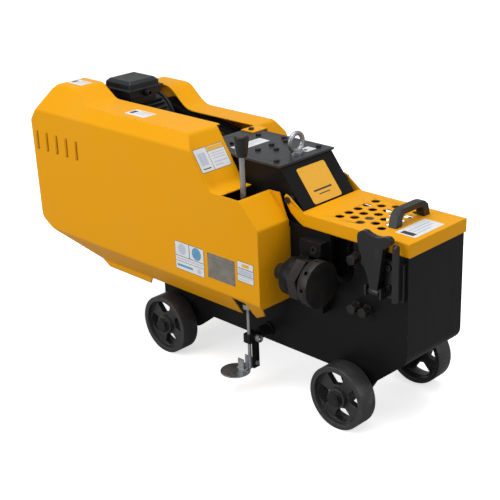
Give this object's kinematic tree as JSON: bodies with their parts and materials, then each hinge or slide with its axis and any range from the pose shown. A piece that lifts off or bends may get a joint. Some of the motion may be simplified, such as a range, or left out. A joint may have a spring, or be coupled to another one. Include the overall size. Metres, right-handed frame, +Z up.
{
  "type": "rebar cutter",
  "caption": "Electric rebar cutter on wheels: geared crank drives a shear blade across a U-shaped jaw under a hinged perforated cover, with sheet side guards and a belt-driven motor.",
  "frame": {"origin": "on the floor, at the centre of the machine's box seen from above", "axes": "+X forward to the cutting end, +Y to the belt side, +Z up"},
  "size_m": [1.2329, 0.46, 0.69],
  "materials": {
    "black_paint": "semi-gloss black paint over machined and welded steel",
    "yellow_paint": "glossy golden yellow powder coat",
    "grey_plate": "dark grey paint",
    "black_oxide": "black-oxide steel",
    "zinc": "bright zinc plate",
    "machined_steel": "machined steel",
    "tool_steel": "ground tool steel",
    "cast_iron": "dark cast iron",
    "bronze": "plain bearing bronze",
    "rubber": "moulded rubber",
    "belt_rubber": "belt rubber",
    "black_plastic": "moulded plastic",
    "motor_paint": "semi-gloss black paint over cast iron",
    "windings": "lacquered laminations and copper windings"
  },
  "bodies": {
    "frame": {"main_frame": "black_paint", "gear_housing": "black_paint", "top_plate": "grey_plate", "top_plate_bolts": "black_oxide", "eye_bolt": "zinc", "near_cover": "yellow_paint", "far_cover": "yellow_paint", "motor_bed": "black_paint", "motor_frame": "motor_paint", "motor_fan_cowl": "motor_paint", "motor_end_shield": "motor_paint", "terminal_box": "motor_paint", "terminal_lid": "motor_paint", "cable_gland": "black_plastic", "motor_stator": "windings", "v_belts": "belt_rubber", "shaft_bushes": "bronze", "slide_cap": "machined_steel", "fixed_blade": "tool_steel", "side_bolts": "black_oxide", "stop_bracket": "black_paint", "socket_screws": "black_oxide", "stop_lock_nut": "black_oxide", "latch_base": "black_plastic", "lever_bracket": "black_paint", "lever_pin": "zinc", "axles": "black_oxide", "axle_brackets": "black_paint", "axle_nuts": "black_oxide", "hinge_pins": "black_oxide", "return_spring": "zinc"},
    "wheel_front_near": {"wheel_front_near": "cast_iron"},
    "wheel_front_far": {"wheel_front_far": "cast_iron"},
    "wheel_rear_near": {"wheel_rear_near": "cast_iron"},
    "wheel_rear_far": {"wheel_rear_far": "cast_iron"},
    "cover": {"safety_cover": "yellow_paint", "cover_handle": "black_plastic", "latch_keeper": "black_oxide"},
    "latch": {"latch_strap": "rubber"},
    "stop": {"stop_screw": "black_oxide"},
    "lever": {"lever_rod": "zinc", "lever_knob": "black_plastic", "pedal_arm": "black_paint", "pedal": "zinc"},
    "shifter": {"shift_rod": "machined_steel", "shift_fork": "machined_steel"},
    "crank": {"crankshaft": "machined_steel"},
    "sleeve": {"clutch_sleeve": "machined_steel"},
    "drive_gear": {"drive_gear": "machined_steel"},
    "rod": {"connecting_rod": "machined_steel", "wrist_pin": "zinc"},
    "slider": {"slider": "machined_steel", "moving_blade": "tool_steel"},
    "intermediate": {"intermediate_shaft": "machined_steel", "intermediate_gear": "machined_steel"},
    "flywheel": {"flywheel_pulley": "cast_iron", "input_shaft": "machined_steel"},
    "rotor": {"motor_shaft": "machined_steel", "motor_pulley": "cast_iron", "cooling_fan": "black_plastic"}
  },
  "joints": [
    {"name": "wheel_front_near_turn", "type": "hinge", "parent": "frame", "child": "wheel_front_near", "pos_m": [0.46, -0.135, 0.08], "axis": [0, 1, 0], "continuous": true},
    {"name": "wheel_front_far_turn", "type": "hinge", "parent": "frame", "child": "wheel_front_far", "pos_m": [0.46, 0.165, 0.08], "axis": [0, 1, 0], "continuous": true},
    {"name": "wheel_rear_near_turn", "type": "hinge", "parent": "frame", "child": "wheel_rear_near", "pos_m": [-0.15, -0.135, 0.08], "axis": [0, 1, 0], "continuous": true},
    {"name": "wheel_rear_far_turn", "type": "hinge", "parent": "frame", "child": "wheel_rear_far", "pos_m": [-0.15, 0.165, 0.08], "axis": [0, 1, 0], "continuous": true},
    {"name": "cover_open", "type": "hinge", "parent": "frame", "child": "cover", "pos_m": [0.258, 0.015, 0.511], "axis": [0, -1, 0], "range_deg": [0, 95]},
    {"name": "latch_open", "type": "hinge", "parent": "frame", "child": "latch", "pos_m": [0.54, -0.114, 0.364], "axis": [1, 0, 0], "range_deg": [0, 100]},
    {"name": "stop_travel", "type": "slide", "parent": "frame", "child": "stop", "axis": [1, 0, 0], "range_m": [-0.01, 0.03]},
    {"name": "lever_press", "type": "hinge", "parent": "frame", "child": "lever", "pos_m": [0.178, -0.144, 0.146], "axis": [1, 0, 0], "range_deg": [0, 4.1], "stiffness_Nm_per_rad": 30},
    {"name": "shifter_slide", "type": "slide", "parent": "frame", "child": "shifter", "axis": [0, -1, 0], "range_m": [0, 0.0066]},
    {"name": "crank_turn", "type": "hinge", "parent": "frame", "child": "crank", "pos_m": [0.15, 0.015, 0.39], "axis": [0, 1, 0], "continuous": true},
    {"name": "sleeve_slide", "type": "slide", "parent": "crank", "child": "sleeve", "axis": [0, -1, 0], "range_m": [0, 0.0066]},
    {"name": "rod_swing", "type": "hinge", "parent": "crank", "child": "rod", "pos_m": [0.13, 0.015, 0.39], "axis": [0, 1, 0], "continuous": true},
    {"name": "drive_gear_turn", "type": "hinge", "parent": "frame", "child": "drive_gear", "pos_m": [0.15, -0.051, 0.39], "axis": [0, 1, 0], "continuous": true},
    {"name": "slider_stroke", "type": "slide", "parent": "frame", "child": "slider", "axis": [1, 0, 0], "range_m": [0, 0.04]},
    {"name": "intermediate_turn", "type": "hinge", "parent": "frame", "child": "intermediate", "pos_m": [-0.027, 0.015, 0.34553], "axis": [0, 1, 0], "continuous": true},
    {"name": "flywheel_turn", "type": "hinge", "parent": "frame", "child": "flywheel", "pos_m": [-0.159, 0.015, 0.38578], "axis": [0, 1, 0], "continuous": true},
    {"name": "rotor_turn", "type": "hinge", "parent": "frame", "child": "rotor", "pos_m": [-0.445, 0.015, 0.545], "axis": [0, 1, 0], "continuous": true}
  ],
  "couplings": [
    {"joint": "shifter_slide", "follows": "lever_press", "m_per_rad": 0.09},
    {"joint": "sleeve_slide", "follows": "lever_press", "m_per_rad": 0.09},
    {"joint": "rod_swing", "follows": "crank_turn", "ratio": -1},
    {"joint": "intermediate_turn", "follows": "flywheel_turn", "ratio": -0.32692},
    {"joint": "drive_gear_turn", "follows": "flywheel_turn", "ratio": 0.099245},
    {"joint": "rotor_turn", "follows": "flywheel_turn", "ratio": 3.1}
  ]
}
